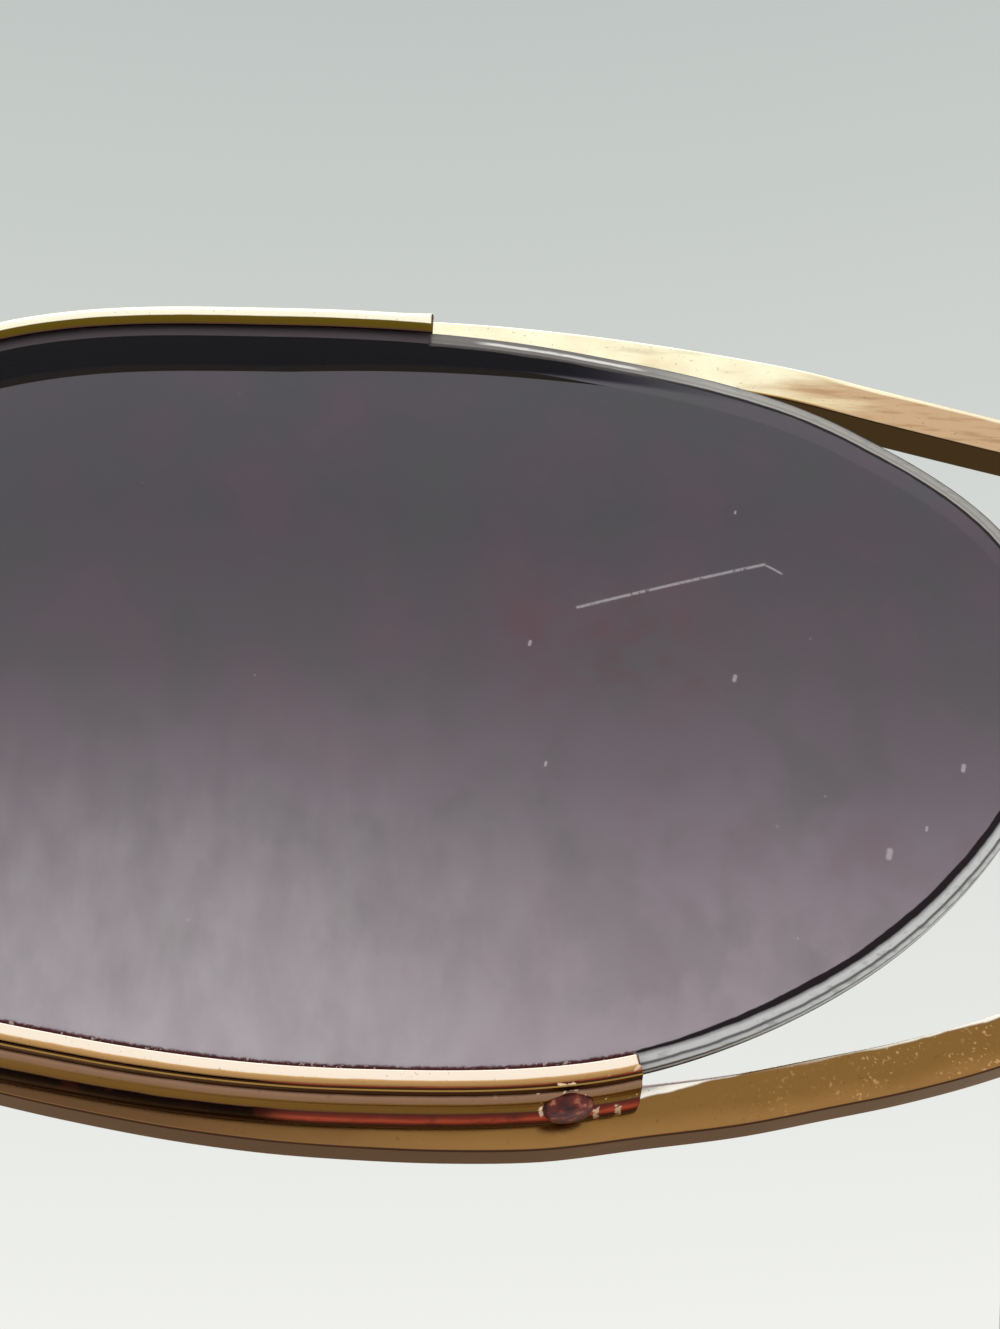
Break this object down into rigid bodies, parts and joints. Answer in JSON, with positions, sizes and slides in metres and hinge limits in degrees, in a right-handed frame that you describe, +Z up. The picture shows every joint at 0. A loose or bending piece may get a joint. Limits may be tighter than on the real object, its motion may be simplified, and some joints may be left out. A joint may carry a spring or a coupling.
{
  "type": "semi-rimless eyeglasses",
  "caption": "Folding eyeglasses with oval tinted lenses in short grooved rims, a bar above and below each free lens end, adjustable nose pads and sleeved temples.",
  "frame": {"origin": "the middle of the open glasses' plan, on the surface that the lower bars and the temple tips stand on", "axes": "+X towards the wearer's left, +Y back along the temples, +Z up"},
  "size_m": [0.1656, 0.1424, 0.0354],
  "materials": {
    "gold": "polished gold-tone plating with brown tarnish in the grooves",
    "screw": "turned steel",
    "lens": "smoke-grey tint, darker at the top",
    "sleeve": "polished dark brown plastic",
    "pad": "clear silicone"
  },
  "bodies": {
    "frame": {"bridge": "gold", "lens_left": "lens", "lens_right": "lens", "rim_left": "gold", "rim_right": "gold", "rim_screw_left": "screw", "rim_screw_right": "screw", "upper_bar_left": "gold", "upper_bar_right": "gold", "lower_bar_left": "gold", "lower_bar_right": "gold", "endpiece_left": "gold", "endpiece_right": "gold", "endpiece_hinge_left": "gold", "endpiece_hinge_right": "gold", "hinge_screw_left": "screw", "hinge_screw_right": "screw", "pad_arm_left": "gold", "pad_arm_right": "gold", "pad_cup_left": "gold", "pad_cup_right": "gold", "pad_screw_left": "screw", "pad_screw_right": "screw"},
    "temple_arm_left": {"temple_left": "gold", "temple_tip_left": "sleeve", "temple_hinge_left": "gold"},
    "temple_arm_right": {"temple_right": "gold", "temple_tip_right": "sleeve", "temple_hinge_right": "gold"},
    "pad_left": {"nose_pad_left": "pad"},
    "pad_right": {"nose_pad_right": "pad"}
  },
  "joints": [
    {"name": "fold_left", "type": "hinge", "parent": "frame", "child": "temple_arm_left", "pos_m": [0.07108, -0.05615, 0.02799], "axis": [0, 0, 1], "range_deg": [0, 94]},
    {"name": "fold_right", "type": "hinge", "parent": "frame", "child": "temple_arm_right", "pos_m": [-0.07108, -0.05615, 0.02799], "axis": [0, 0, -1], "range_deg": [0, 89.5]},
    {"name": "rock_left", "type": "hinge", "parent": "frame", "child": "pad_left", "pos_m": [0.01052, -0.06309, 0.01335], "axis": [-0.4067, -0.9135, 0], "range_deg": [-12, 12]},
    {"name": "rock_right", "type": "hinge", "parent": "frame", "child": "pad_right", "pos_m": [-0.01052, -0.06309, 0.01335], "axis": [0.4067, -0.9135, 0], "range_deg": [-12, 12]}
  ]
}
